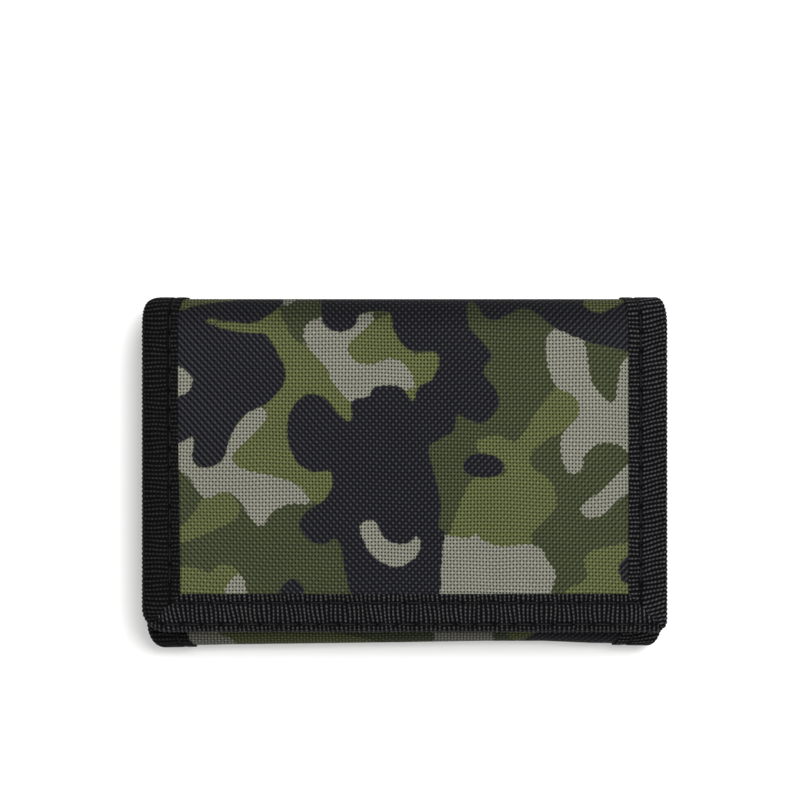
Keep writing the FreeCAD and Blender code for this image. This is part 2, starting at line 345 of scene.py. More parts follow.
def printed_oxford():
    """Plain-weave oxford printed in four colours, with pin holes between the yarns, painted shade at the
    folds and a painted highlight on the yarn crowns.
    """
    f = Finish("printed_oxford")
    place, across, along = f.cloth_place()
    drift = f.noise(place, 0.05, 1.0) - 0.5
    across_turns = across / YARN_ACROSS + drift * 1.2
    along_turns = (along + across * 0.012) / YARN_ALONG + drift * 1.6
    crossing = f.sum("SINE", across_turns * math.pi) * f.sum("SINE", along_turns * math.pi)
    lattice = (f.wave(across_turns) + f.wave(along_turns)) * 0.5
    # bent is 1 at the folds. There the pin holes open wider, as a weave does over a bend, and the cloth is
    # darkened further as painted shade: the upper fold turning away from the light, and the flap's shadow on
    # the strip by the lower fold.
    bent = f.field("bent")
    hole = f.step(lattice, -0.05 - bent * 0.40, 0.80)
    ragged = crossing * 0.22
    tint = GROUND_DYE
    for field, dye in UPPER_DYES.items():
        tint = f.mix(f.step(f.field(field) + ragged, -DYE_EDGE, DYE_EDGE), tint, dye)
    diagonals = f.wave((across_turns - along_turns) * 0.5) + f.wave((across_turns + along_turns) * 0.5)
    # crown marks the yarn crowns, which carry the painted highlight.
    crown = f.step(crossing + diagonals * across * 0.006, -0.10, 0.90)
    fade = f.noise(place, 0.12, 3.0) * 0.24 + 0.88
    uneven = f.noise(place, 2.2, 1.0) * 0.3 + 0.85
    # The (1 - bent * 0.42) factor is painted shade at the folds.
    lit = (0.93 + crossing * 0.17) * (1 - hole * 0.92) * (1 - bent * 0.42) * fade * uneven
    # Painted highlight on the yarn crowns, weaker at the folds.
    shine = f.mix(crown * fade * (0.085 - bent * 0.035), f.brighten(tint, lit), YARN_SHINE)
    relief = f.sum("ABSOLUTE", crossing) * 0.5 + crossing * 0.25 - hole * 0.45 + uneven * 0.3
    return f.done(Base_Color=shine, Roughness=0.75, Specular_IOR_Level=0.08,
                  Normal=f.bump(relief, 0.0002))


def grosgrain(name, ground, bead_highlight):
    """Ribbed black tape: each rib is a cord crossed by close warp ends that show as beads, whose tips carry
    a painted highlight.
    """
    f = Finish(name)
    place, across, along = f.cloth_place()
    rib_turns = along / RIB
    rib = f.sum("ABSOLUTE", f.sum("COSINE", rib_turns * math.pi))
    cord = f.sum("FLOOR", rib_turns + 0.5)
    stagger = cord * 0.5 + f.sum("SINE", cord * 2.4) * 0.3
    bead = f.wave(across / BEAD + stagger) * 0.5 + 0.5
    fade = f.noise(place, 0.10, 2.0) * 0.5 + 0.75
    # Flecks that break up the painted highlight.
    glint = f.noise(place, 1.1, 2.0) * 1.5 + 0.2
    # Painted shade in the stitch grooves: the painted highlight is taken away along them.
    groove_shade = 1 - f.field("stitch_line") * 1.35
    lit = rib * rib * rib * (0.4 + bead * 0.6) * fade * glint * groove_shade
    # Painted highlight: the rib and bead crowns are mixed from the black ground towards the second colour.
    tint = f.mix(f.step(lit, 0.10, 1.10), ground, bead_highlight)
    relief = bead * rib * 0.6 + f.noise(place, 3.5, 2.0) * 0.3
    return f.done(Base_Color=tint, Roughness=0.7, Specular_IOR_Level=0.04,
                  Normal=f.bump(relief, 0.00014))


def lining_cloth():
    """Fine black taffeta lining."""
    f = Finish("lining_cloth")
    place, across, along = f.cloth_place()
    yarn = math.pi / LINING_YARN
    crossing = f.sum("SINE", across * yarn) * f.sum("SINE", along * yarn)
    fade = f.noise(place, 0.08, 3.0) * 0.5 + 0.75
    crease = f.noise(place, 0.16, 2.0)
    tint = f.brighten(colour(32, 33, 34), (0.85 + crossing * 0.3) * fade)
    return f.done(Base_Color=tint, Roughness=0.55, Specular_IOR_Level=0.30,
                  Normal=f.bump(crossing * 0.12 + crease * 3.0, 0.0003))


def plain_black(name, shade, roughness, grain, depth):
    """Black part with a fine grain: thread, coil, pile, hooks or woven zip tape."""
    f = Finish(name)
    place = f.place()
    speckle = f.noise(place, grain, 2.0)
    tint = f.brighten(colour(*shade), speckle * 0.7 + 0.65)
    return f.done(Base_Color=tint, Roughness=roughness, Specular_IOR_Level=0.25,
                  Normal=f.bump(speckle, depth))


def black_paint():
    """Black paint on die-cast zinc, rubbed brighter in places."""
    f = Finish("black_paint")
    place = f.place()
    worn = f.step(f.noise(place, 420.0, 4.0), 0.60, 0.72)
    tint = f.mix(worn, colour(24, 24, 26), colour(70, 70, 72))
    return f.done(Base_Color=tint, Metallic=worn * 0.9, Roughness=0.34 + f.noise(place, 900.0) * 0.15,
                  Normal=f.bump(f.noise(place, 1500.0), 0.00002))


def clear_film():
    """Clear soft film of the identity window."""
    f = Finish("clear_film")
    place = f.place()
    haze = f.noise(place, 60.0, 3.0)
    return f.done(Base_Color=colour(205, 210, 212), Roughness=0.12 + haze * 0.12,
                  Alpha=0.13 + haze * 0.10, Specular_IOR_Level=0.7, Normal=f.bump(haze, 0.0004))


def pale_floor():
    f = Finish("pale_floor")
    speckle = f.noise(f.place(), 30.0, 2.0)
    return f.done(Base_Color=f.brighten(colour(248, 248, 247), speckle * 0.02 + 0.99), Roughness=0.9,
                  Specular_IOR_Level=0.1)


OXFORD = printed_oxford()
GROSGRAIN = grosgrain("grosgrain", colour(4, 4, 6), colour(70, 69, 70))
# A darker copy with a dimmer bead highlight: painted shade for the left tapes, on the side the light falls
# away from.
SHADED_GROSGRAIN = grosgrain("grosgrain_painted_shade", colour(4, 4, 5), colour(42, 41, 42))
TAFFETA = lining_cloth()
THREAD = plain_black("thread", (9, 9, 10), 0.8, 4000.0, 0.00003)
PILE = plain_black("loop_pile", (24, 24, 26), 0.9, 2500.0, 0.0002)
HOOKS = plain_black("hook_nylon", (30, 30, 32), 0.4, 1500.0, 0.00003)
ZIP_TAPE = plain_black("zip_tape", (26, 26, 27), 0.8, 3000.0, 0.0001)
COIL = plain_black("coil_nylon", (34, 34, 36), 0.35, 900.0, 0.00002)
PAINT = black_paint()
FILM = clear_film()

# ---- the camouflage print
# Closed outlines in millimetres, drawn on the front flap: x across, y towards the upper fold.
BLACK_SHAPES = [
    [(-60, 41), (-56, 40), (-50.5, 39), (-44.5, 37.5), (-35, 35), (-31, 29), (-29.5, 25.5), (-30, 22),
     (-34, 17.5), (-39.5, 14.5), (-43, 9.5), (-45, 3.5), (-49.5, 1.5), (-52.5, 3.5), (-52.5, 9), (-60, 8.5)],
    [(-58, 39.5), (-54.5, 41), (-46, 43), (-42, 45), (-32, 46), (-30, 43.5), (-31.5, 41), (-36, 37.7),
     (-41, 37.4), (-50, 39)],
    [(-20, 48), (-20.5, 42.5), (-20, 37), (-16, 35), (-12.5, 36.5), (-10.5, 39.5), (-4, 40), (-2.5, 35),
     (1.5, 30.5), (7.5, 30), (8.5, 27), (6.5, 23), (3.5, 21.5), (2, 18), (-1, 21.5), (-7, 21.5),
     (-9, 19), (-13, 18), (-13, 13), (-16, 14.5), (-19.5, 18.5), (-24, 19.5), (-28, 16), (-29, 9.5),
     (-27, 3.5), (-23, 0.5), (-18.5, 0.5), (-18, -3.5), (-20.5, -7), (-24.5, -9.5), (-26, -13),
     (-23.5, -16.5), (-20, -17.5), (-17, -16), (-15.5, -19), (-14.5, -25), (-11, -31), (7, -31),
     (9, -23.5), (9.5, -18), (10, -14.5), (8.5, -13), (9, -7.5), (7.5, -0.5), (6, 5.5), (7, 7.5),
     (12, 10.5), (13, 14.5), (15.5, 13.5), (19.5, 12.5), (23, 16), (23, 20), (19.5, 25), (21.5, 29),
     (19.5, 32.5), (16, 36.5), (15.5, 42), (16, 48)],
    [(14.5, 2), (16.5, 4.5), (19.5, 5), (23, 4), (24.5, 2), (23, -0.5), (19, -1), (15.5, 0)],
    [(12, 47), (17.5, 42.5), (19.5, 39), (22.5, 38), (26, 39.5), (29.5, 41), (33, 39.5), (36.5, 36.5),
     (43, 33.5), (50, 31.5), (60, 30.5), (62, 40), (55, 46), (30, 48)],
    [(-31, -29.5), (-29.5, -27), (-27.5, -26), (-25.5, -27.5), (-25, -29.5), (-28, -33)],
    [(53, -24), (54, -21.5), (57, -20.5), (58, -27), (54.5, -27)],
]
GREY_SHAPES = [
    [(-60, 7.5), (-56, 8), (-52.5, 9.5), (-52.5, 3), (-49.5, 1), (-45, 3), (-42.5, 9.5), (-38.5, 15),
     (-34.5, 16), (-34.5, 13), (-37.5, 9.5), (-41.5, 6), (-42.5, 3.5), (-39.5, 1), (-33, -0.5),
     (-27, -2.5), (-24, -5.5), (-23.5, -7.5), (-28.5, -7.5), (-32.5, -9.5), (-35.5, -13), (-39, -9.5),
     (-41, -6.5), (-44.5, -4.5), (-49.5, -6), (-53, -1.5), (-56.5, 1.5), (-60, 2)],
    [(-25, 34), (-24, 37), (-21, 38.5), (-18, 38), (-12.5, 38.5), (-11, 39.5), (-8, 39.5), (-8, 37.5),
     (-12, 34), (-14, 31.5), (-12.5, 28), (-8, 27), (-3.5, 28.5), (0.5, 26.5), (2.5, 21.5),
     (-1.5, 21), (-7, 20.5), (-9, 18.5), (-13, 18), (-15, 19), (-18, 23), (-19.5, 26.5), (-23.5, 31)],
    [(8, -17), (11.5, -15.5), (15.5, -16), (17.5, -15), (19.5, -16.5), (24, -18), (31, -17.5),
     (34, -19), (36, -22.5), (37.5, -25), (36.5, -28), (33.5, -31), (7, -31)],
    [(35, 32), (36, 35), (39.5, 36), (43.5, 34), (45, 30.5), (45.5, 27), (46.5, 22.5), (49.5, 18.5),
     (52, 18), (53, 23.5), (54.5, 28.5), (60, 29), (60, 4.5), (54.5, 6), (53.5, 7), (48.5, 7.5),
     (44.5, 4.5), (44, 1), (41, 0), (39, 3.5), (39, 9.5), (43, 14.5), (42.5, 18.5), (39.5, 20.5),
     (37.5, 21.5), (35.5, 26.5)],
    [(60, 6), (53.5, 0.5), (49.5, -3.5), (45, -7), (43.5, -9), (45.5, -11), (49.5, -10), (53, -6.5),
     (60, -0.5)],
    [(-44.5, -30), (-43, -26.5), (-41, -25), (-39.5, -27), (-39.5, -31)],
    [(-30, 42), (-28, 42.5), (-27, 45), (-29.5, 46)],
]
OLIVE_SHAPES = [
    [(-42, 38), (-36.5, 37.5), (-33.5, 33.5), (-30.5, 28.5), (-29.5, 25), (-30, 21.5), (-34, 17.5),
     (-34, 16), (-34.5, 13), (-37.5, 9.5), (-41.5, 6), (-42.5, 3.5), (-39.5, 1), (-33, -0.5),
     (-27, -2.5), (-24, -6), (-20.5, -7), (-18, -3.5), (-18, 0.5), (-23, 0.5), (-27, 3.5),
     (-29, 9.5), (-28, 16), (-24.5, 20), (-19.5, 19), (-16, 14.5), (-13, 13), (-12.5, 18),
     (-16, 20), (-19.5, 26), (-23, 31), (-27, 33), (-29.5, 37), (-31.5, 41), (-35, 40)],
    [(-13.5, 31.5), (-12, 35), (-7, 38), (-2, 40), (0.5, 40), (1.5, 30), (7.5, 30), (9, 27), (6.5, 22),
     (3, 19), (2, 13), (-1, 18.5), (-1, 22), (0.5, 26.5), (-3.5, 28.5), (-8, 27), (-12.5, 28)],
    [(37.5, 21), (40, 20.5), (43, 18), (43, 14.5), (39, 10.5), (34.5, 8), (31, 4.5), (32, 1.5),
     (36.5, -2.5), (37.5, -8), (34.5, -12), (31.5, -15), (31, -17.5), (24, -18.5), (19.5, -17),
     (17.5, -15.5), (11.5, -16), (13, -9.5), (17, -1.5), (24.5, -0.5), (24.5, 3), (19, 5), (18, 8),
     (23, 9.5), (27.5, 8), (31, 12.5), (33, 16)],
    [(-60, -17.5), (-54.5, -17), (-46, -13.5), (-41.5, -11), (-41, -8), (-44.5, -4.5), (-49.5, -6),
     (-54.5, -12.5), (-60, -14.5)],
    [(-60, -23.5), (-55, -23), (-51, -23.5), (-48.5, -24.5), (-45, -22.5), (-41, -24.5), (-43, -30),
     (-60, -31)],
    [(39.5, -30), (45, -26), (44.5, -21), (48.5, -18.5), (60, -18), (60, -31)],
]
# These lie over the black.
GREY_PATCHES = [
    [(-60, 26), (-56, 26.5), (-53, 24.5), (-52.5, 22.5), (-53.5, 20.5), (-56, 19), (-60, 19)],
    [(-11, -14), (-10, -12), (-8, -11.5), (-6.5, -13), (-5, -16), (-1, -17.5), (2, -16.5), (3, -15.5),
     (4, -17), (3, -20.5), (-1, -23), (-4.5, -22.5), (-8.5, -19.5)],
]
OLIVE_PATCHES = [
    [(-60, 44), (-60, 40), (-55, 40.5), (-50.5, 42.5), (-43, 43.5), (-42, 46), (-50, 48)],
    [(-51, 38.4), (-44.3, 37.4), (-39, 37), (-34, 37), (-33, 35.5), (-35.2, 34.8), (-39.4, 34.9),
     (-44.3, 35.7), (-48, 37)],
    [(44.5, 43.5), (44.6, 41.6), (47.5, 39.8), (50, 40.3), (53, 42), (56, 44.5), (50, 47), (45, 47)],
]
# The strip of print that shows below the flap, at the lower fold, in the same axes.
LOWER_PRINT = {
    "black_print": [[(35, -36), (62, -36), (62, -50), (28, -50), (30.5, -43), (33, -40.5)]],
    "grey_print": [[(-60, -36), (-48, -36), (-47.5, -38.5), (-45.5, -40.5), (-42.5, -43), (-41, -50),
                    (-60, -50)],
                   [(7, -36), (21, -36), (22, -40), (21, -50), (8, -50), (7.5, -42)]],
    "olive_print": [[(-48, -37), (-40, -36), (-30, -38), (-22, -39.5), (-14, -41), (-8, -43.5), (-10, -48),
                     (-30, -50), (-44, -48)],
                    [(26.5, -38), (34, -36), (36, -39.5), (33, -42.5), (29, -45), (26, -42)]],
}
LOWER_PRINT_TOP = -30
OVERLAP = 0.5  # colours run this far under one another where they meet
FAR_OUTSIDE = 5.0


def rounded_outline(corners, steps=7):
    """Closed smooth outline through the corners."""
    corners = np.array(corners, float)
    before, after, beyond = (np.roll(corners, k, axis=0) for k in (1, -1, -2))
    t = (np.arange(steps) / steps)[None, :, None]
    a, b, c, d = (p[:, None] for p in (before, corners, after, beyond))
    line = 0.5 * (2 * b + (c - a) * t + (2 * a - 5 * b + 4 * c - d) * t ** 2
                  + (3 * b - a - 3 * c + d) * t ** 3)
    return line.reshape(-1, 2)


def distance_inside(points, outline):
    """Distance from each point to the outline, positive inside it."""
    nearest = np.full(len(points), 1e9)
    inside = np.zeros(len(points), bool)
    for p, q in zip(outline, np.roll(outline, -1, axis=0)):
        edge = q - p
        t = np.clip(((points - p) @ edge) / max(edge @ edge, 1e-9), 0, 1)
        nearest = np.minimum(nearest, np.linalg.norm(points - p - t[:, None] * edge, axis=1))
        crosses = (p[1] > points[:, 1]) != (q[1] > points[:, 1])
        if p[1] != q[1]:
            inside ^= crosses & (points[:, 0] < p[0] + (points[:, 1] - p[1]) * edge[0] / edge[1])
    return np.where(inside, nearest, -nearest)


def print_field(across, along, shapes):
    """How far each place on the cloth is inside the shapes; the far ones only need to be outside."""
    points = np.stack([across.ravel(), along.ravel()], axis=1)
    field = np.full(len(points), -FAR_OUTSIDE)
    for corners in shapes:
        outline = rounded_outline(corners)
        low, high = outline.min(0) - FAR_OUTSIDE, outline.max(0) + FAR_OUTSIDE
        near = np.all((points > low) & (points < high), axis=1)
        if near.any():
            field[near] = np.maximum(field[near], distance_inside(points[near], outline))
    return field.reshape(across.shape)


def camouflage(across, along):
    """The print's three upper colours at places on the cloth; the ground colour is dark green."""
    grey_over = print_field(across, along, GREY_PATCHES)
    olive_over = print_field(across, along, OLIVE_PATCHES)
    black = print_field(across, along, BLACK_SHAPES)
    grey = print_field(across, along, GREY_SHAPES)
    olive = print_field(across, along, OLIVE_SHAPES)
    black = np.minimum(black, -np.maximum(grey_over, olive_over))
    grey = np.minimum(np.maximum(grey, grey_over), -olive_over)
    olive = np.maximum(olive, olive_over)
    grey_trap = OVERLAP * np.exp(-(black / OVERLAP) ** 2)
    olive_trap = OVERLAP * np.exp(-(np.maximum(black, grey) / OVERLAP) ** 2)
    return {"black_print": black, "grey_print": grey + grey_trap, "olive_print": olive + olive_trap}


# ---- cloth of the strip
RADII = {"flap": 4.0, "upper": 2.2, "lower": 2.2, "inner": 3.9}
CLOTH_STEP = 0.9
FULLNESS = 0.9  # how far the stuffed flap stands above its bindings
UPPER_HALF = HALF - 1.7  # half widths where the strip folds and at the back
BACK_HALF = HALF - 0.6
LEFT_SOFT = 3.4  # how far in from the edge a panel's side is rounded
RIGHT_SOFT = 1.2
END_SOFT = 1.6
FOLD_SOFT = 2.0
TUCK = 0.6  # how far the cloth's edge is inside its tape
REPEAT = 92.0  # of the print, along the strip
SAG_PLACES = [-60, -54, -44, -5, 20, 35, 46, 53, 60]
SAG_DEPTHS = [0, 0.1, 0.3, 0.8, 1.2, 1.2, 0.7, 0.6, 0.5]


def flap_swell(x, y):
    """How far the flap's cloth stands up between its bindings: flat at the sides, slightly uneven."""
    inside = 1 - smooth(np.abs(x), 34, HALF - TAPE_WIDTH + 0.5)
    rise = smooth(y, FLAP_END + TAPE_WIDTH, FLAP_END + 32)
    fall = 1 - smooth(y, UPPER_FOLD - 30, UPPER_FOLD)
    uneven = np.sin(x * 0.11 + y * 0.05) * np.cos(y * 0.09 - x * 0.03)
    return (FULLNESS + 0.16 * uneven) * rise * fall * inside


def back_swell(x, y):
    """How far the back panel's cloth stands out, down to the level of its bindings."""
    inside = 1 - smooth(np.abs(x), 20, HALF - TAPE_WIDTH)
    return (TAPE - 0.05) * inside * (1 - smooth(np.abs(y), 20, UPPER_FOLD - 3))


def narrowed(path, wide, narrow, at, reach):
    """Half width along a path that narrows towards a fold."""
    away = np.clip(np.abs(path[0][:, 0] - at) / reach, 0, 1)
    return narrow + (wide - narrow) * np.sqrt(1 - (1 - away) ** 2)


def sagged(x, y):
    """The lower fold isn't quite straight: its cloth sits further in between the bindings."""
    depth = np.interp(x, SAG_PLACES, SAG_DEPTHS)
    return depth * (1 - smooth(y, LOWER_FOLD, LOWER_FOLD + 7))


def strip_cloth(name, path, low, high, finish, depth, swell=None, fields_at=None):
    """One stretch of cloth along the strip, from x = low to high.

    depth is its thickness, towards the inside of the fold, or below 0 for a lining, whose inner side
    shows.  swell gives how far the cloth stands out, and fields_at its print.
    """
    places, normals, along = path
    share = np.linspace(0, 1, round(2 * HALF / CLOTH_STEP) + 1)[None, :]
    low = np.broadcast_to(low, len(places))[:, None]
    high = np.broadcast_to(high, len(places))[:, None]
    x = low + (high - low) * share
    y = np.broadcast_to(places[:, 0][:, None], x.shape)
    y = y + sagged(x, y)
    z = np.broadcast_to(places[:, 1][:, None], x.shape)
    lift = swell(x, y) if swell else np.zeros_like(x)
    face = np.stack([x, y + normals[:, 0][:, None] * lift, z + normals[:, 1][:, None] * lift], axis=-1)
    outward = np.stack([np.zeros(len(normals)), normals[:, 0], normals[:, 1]], axis=1)[:, None, :]
    back = face - grid_normals(face, outward) * depth
    uv = np.stack([x, np.broadcast_to(along[:, None], x.shape)], axis=-1)
    fields = fields_at(x, uv[..., 1]) if fields_at else {}
    # The bent field marks where the cloth gets painted shade and wider pin holes: near the upper fold, and
    # on the strip under the flap by the lower fold.
    upper_fold_shade = smooth(y, UPPER_FOLD - 9, UPPER_FOLD - 1)
    fields["bent"] = upper_fold_shade + smooth(-y, -LOWER_FOLD - 7, -LOWER_FOLD - 3)
    return thick_sheet(name, face, back, uv, finish, fields)


def fold_paths(upper_y, lower_y, levels, ends, tighter, step, fine):
    """The four stretches of the strip, each round one corner of a fold.

    levels are the heights of the flap, back and inner panel; a lining turns tighter.
    """
    flap_z, back_z, inner_z = levels
    lines = {"flap": [(ends[0], flap_z), (upper_y, flap_z), (upper_y, UPPER_MIDDLE)],
             "upper": [(upper_y, UPPER_MIDDLE), (upper_y, back_z), (0, back_z)],
             "lower": [(0, back_z), (lower_y, back_z), (lower_y, LOWER_MIDDLE)],
             "inner": [(lower_y, LOWER_MIDDLE), (lower_y, inner_z), (ends[1], inner_z)]}
    return {stretch: rounded_path(lines[stretch], RADII[stretch] * tighter, step, fine) for stretch in lines}


OUTER_LEVELS = FLAP_TOP, BACK, INNER_TOP
outer = fold_paths(UPPER_FOLD, LOWER_FOLD, OUTER_LEVELS,
                   (FLAP_END + END_SOFT + TUCK, INNER_END - END_SOFT - TUCK), 1.0, CLOTH_STEP, 0.4)
starts = {}
reached = FLAP_END + END_SOFT + TUCK
for stretch, path in outer.items():
    starts[stretch] = reached
    reached = reached + path[2][-1]


def repeated_print(stretch):
    """The print along the strip: every second repeat is mirrored across."""
    def fields(x, along):
        place = along + starts[stretch] - FLAP_END
        count = np.floor(place / REPEAT)
        mirrored = np.where(np.mod(count, 2) > 0, -1, 1)
        return camouflage(x * mirrored, place - count * REPEAT + FLAP_END)
    return fields


def inner_print(x, along):
    """The inner panel's print: by the lower fold it is the part that shows under the flap."""
    fields = repeated_print("inner")(x, along)
    y = along - outer["inner"][2][-1] + INNER_END - END_SOFT - TUCK
    for key, shapes in LOWER_PRINT.items():
        fields[key] = np.where(y < LOWER_PRINT_TOP, print_field(x, y, shapes), fields[key])
    return fields


# Half width of each stretch, half width at its fold, where the fold is and how far it is felt.
HALVES = {"flap": (HALF, UPPER_HALF, UPPER_FOLD, 7), "upper": (BACK_HALF, UPPER_HALF, UPPER_FOLD, 7),
          "lower": (BACK_HALF, LOWER_HALF, LOWER_FOLD, 9), "inner": (INNER_HALF, LOWER_HALF, LOWER_FOLD, 9)}
PRINTS = {"flap": repeated_print("flap"), "upper": repeated_print("upper"),
          "lower": repeated_print("lower"), "inner": inner_print}
SWELLS = {"flap": flap_swell, "upper": back_swell, "lower": back_swell, "inner": None}
cloth = {}
for stretch, path in outer.items():
    half = narrowed(path, *HALVES[stretch])
    soft = LEFT_SOFT if stretch == "flap" else FOLD_SOFT
    cloth[stretch] = strip_cloth(stretch + "_cloth", path, soft + TUCK - half, half - RIGHT_SOFT - TUCK,
                                 OXFORD, CLOTH, SWELLS[stretch], PRINTS[stretch])


# ---- bindings
CORNER_ROWS = 64
TAPE_STEP = RIB / 7
STITCH_IN = 6.5  # stitch line, in from the edge
LEFT_STITCH_IN = STITCH_IN + 0.4
END_STITCH_IN = 7.3
EDGE_STITCH_IN = 2.0  # the flap's end has a second line beside its edge
GROOVE = 0.42  # how wide a stitch line pulls the tape in
NEEDLE_HOLE = 0.5
RIGHT_SLANT = 14.0  # degrees
END_LEAN = 9.0
LEFT_TAPER = 0.055  # the flap's left tape narrows towards the upper fold
LEFT_CORNER = 6.0  # radii of the free ends' corners
RIGHT_CORNER = 3.0
INNER_CORNER = 4.0
TOP_POINTS = 34  # in a tape's section: on top, round the edge, below
EDGE_POINTS = 17
UNDER_POINTS = 12


def tape_section(stack, soft, width):
    """The tape's section round a panel's edge: distance in from the edge, and height above the cloth.

    stack is the thickness bound, one value for each row; soft is how far the edge is rounded.
    """
    stack = np.asarray(stack, float)[:, None]
    ones = np.ones_like(stack)
    flat = np.linspace(width, soft, TOP_POINTS)[:-1][None, :]
    turn = np.linspace(0, math.pi, EDGE_POINTS)[None, :]
    under = np.linspace(soft, width, UNDER_POINTS)[1:][None, :]
    tall = stack / 2 + TAPE
    inward = np.concatenate([flat * ones, soft * (1 - np.sin(turn)) * ones, under * ones], axis=1)
    height = np.concatenate([TAPE * np.ones_like(flat) * ones, tall * np.cos(turn) - stack / 2,
                             -(stack + TAPE) * np.ones_like(under)], axis=1)
    return inward, height


def mitre(inward, share, radius, width):
    """Where a tape goes at a rounded corner: distances from the two edges, and the length run.

    share is 0 where the corner's square begins and 1 on its diagonal.
    """
    straight = width - np.maximum(radius, inward)
    arc = math.pi / 4 * np.maximum(radius - inward, 0)
    run = share * (straight + arc)
    bend = np.maximum(radius - inward, 1e-6)
    angle = np.clip(run - straight, 0, None) / bend
    ahead = np.where(run <= straight, width - run, radius - bend * np.sin(angle))
    inside = np.where(run <= straight, inward, radius - bend * np.cos(angle))
    return ahead, inside, run


def stitched_tape(name, grid, section, along, towards, lines, lean, finish):
    """Finishes a tape from its grid: ribs and stitch grooves in relief, thickness and material."""
    inward, height = section
    wander = 0.13 * np.sin(0.37 * along + 0.6 * inward) + 0.09 * np.sin(0.91 * along - 0.5 * inward)
    phase = along - lean + wander
    ribs = RIB_HEIGHT * np.abs(np.cos(math.pi * phase / RIB))
    groove = np.zeros_like(ribs)
    for line in lines:
        near = np.exp(-((inward - line) / GROOVE) ** 2)
        needle = np.exp(-((np.mod(along, STITCH) - STITCH / 2) / NEEDLE_HOLE) ** 2)
        groove += near * (0.17 + 0.16 * needle)
    groove = np.where(height > TAPE * 0.5, groove, 0)
    edge_lump = 1 + 0.6 * np.exp(-(inward / 1.2) ** 2)
    normals = grid_normals(grid, towards)
    face = grid + normals * ((ribs - groove) * edge_lump - RIB_HEIGHT * 0.6)[..., None]
    steps = np.linalg.norm(np.diff(grid, axis=1), axis=2)
    run = np.concatenate([np.zeros((len(grid), 1)), np.cumsum(steps, axis=1)], axis=1)
    fields = {"stitch_line": groove / 0.3}
    return thick_sheet(name, face, grid - normals * TAPE, np.stack([run, phase], axis=-1), finish, fields)


def side_tape(name, path, side, half, stack, soft, finish=GROSGRAIN, lines=(), slant=0.0, corner=None,
              width=TAPE_WIDTH):
    """Tape over one side edge, with its share of the corner at a free end if corner is given.

    side is -1 for the left or +1 for the right, and slant is how far the ribs lean outside the stitch
    line, in degrees.  corner is the corner's radius, the free end's y, and +1 where the panel goes up
    from there or -1 where it goes down.
    """
    places, normals, along = path
    inward, height = tape_section(np.broadcast_to(stack, len(places)), soft, width)
    half = np.broadcast_to(half, len(places))
    on_left = (side < 0) * (places[:, 1] > UPPER_MIDDLE)
    taper = 1 - on_left * LEFT_TAPER * smooth(places[:, 0], -30, 20)
    x = side * (half[:, None] - inward * taper[:, None])
    y = places[:, 0][:, None] + normals[:, 0][:, None] * height
    y = y + sagged(x, y)
    z = places[:, 1][:, None] + normals[:, 1][:, None] * height
    grid = np.stack([x, y, z], axis=-1)
    run = np.broadcast_to(along[:, None], inward.shape)
    if corner:
        radius, end, rising = corner
        at_start = abs(places[0][0] - end) < abs(places[-1][0] - end)
        row = 0 if at_start else -1
        share = np.linspace(1, 0, CORNER_ROWS)[:-1] if at_start else np.linspace(0, 1, CORNER_ROWS)[1:]
        ins = np.broadcast_to(inward[row], (len(share), inward.shape[1]))
        high = np.broadcast_to(height[row], ins.shape)
        ahead, inside, gone = mitre(ins, share[:, None], radius, width)
        spots = side * (half[row] - inside), end + rising * ahead, places[row][1] + high
        extra = np.broadcast_to(normals[row], (len(share), 2))
        order = slice(None) if at_start else slice(None, None, -1)
        grid = np.concatenate([np.stack(spots, axis=-1), grid][order])
        run = np.concatenate([-gone if at_start else along[-1] + gone, run][order])
        inward = np.concatenate([ins, inward][order])
        height = np.concatenate([high, height][order])
        normals = np.concatenate([extra, normals][order])
    lean = np.clip(STITCH_IN - inward, 0, None) * math.tan(math.radians(slant))
    towards = np.stack([np.zeros(len(normals)), normals[:, 0], normals[:, 1]], axis=1)[:, None, :]
    return stitched_tape(name, grid, (inward, height), run, towards, lines, lean, finish)


def end_tape(name, end, rising, level, low, high, stack, soft, radii=None, lines=(), lean=0.0,
             width=TAPE_WIDTH):
    """Tape over an edge that runs across, from x = low to high, with the panel on its rising side.

    radii are its corners', where it is mitred into side tapes.  lean is how far the ribs lean at its
    left, in degrees, fading to the right.
    """
    cut = width if radii else 0
    straight = np.arange(low + cut, high - cut, TAPE_STEP)
    share = np.linspace(0, 1, CORNER_ROWS)[1:] if radii else []
    rows = len(straight) + 2 * len(share)
    inward, height = tape_section(np.full(rows, stack), soft, width)
    inside = inward.copy()
    first, last = len(share), rows - len(share)
    x = np.zeros_like(inward)
    x[first:last] = straight[:, None]
    run = x.copy()
    for at, edge, sign, radius, part in ((slice(0, first), low, -1, 0, share[::-1]),
                                         (slice(last, rows), high, 1, 1, share)):
        if radii:
            ahead, inside[at], gone = mitre(inward[at], part[:, None], radii[radius], width)
            x[at] = edge - sign * ahead
            run[at] = edge + sign * (gone - width)
    grid = np.stack([x, end + rising * inside, level + height], axis=-1)
    fading = np.clip(0.5 - x / (2 * HALF), 0, 1)
    slope = math.tan(math.radians(lean)) * fading * inward
    up = np.array([0, 0, 1.0])
    return stitched_tape(name, grid, (inward, height), run, up, lines, -slope, GROSGRAIN)


tape_paths = fold_paths(UPPER_FOLD, LOWER_FOLD, OUTER_LEVELS,
                        (FLAP_END + TAPE_WIDTH, INNER_END - TAPE_WIDTH), 1.0, TAPE_STEP, TAPE_STEP)


def thinned(path, stack, fold):
    """Bound thickness along a path, thinner where it goes round a fold."""
    near = 1 - smooth(np.abs(path[0][:, 0] - fold), 1.0, 7.0)
    return stack + (FOLD_STACK - stack) * near


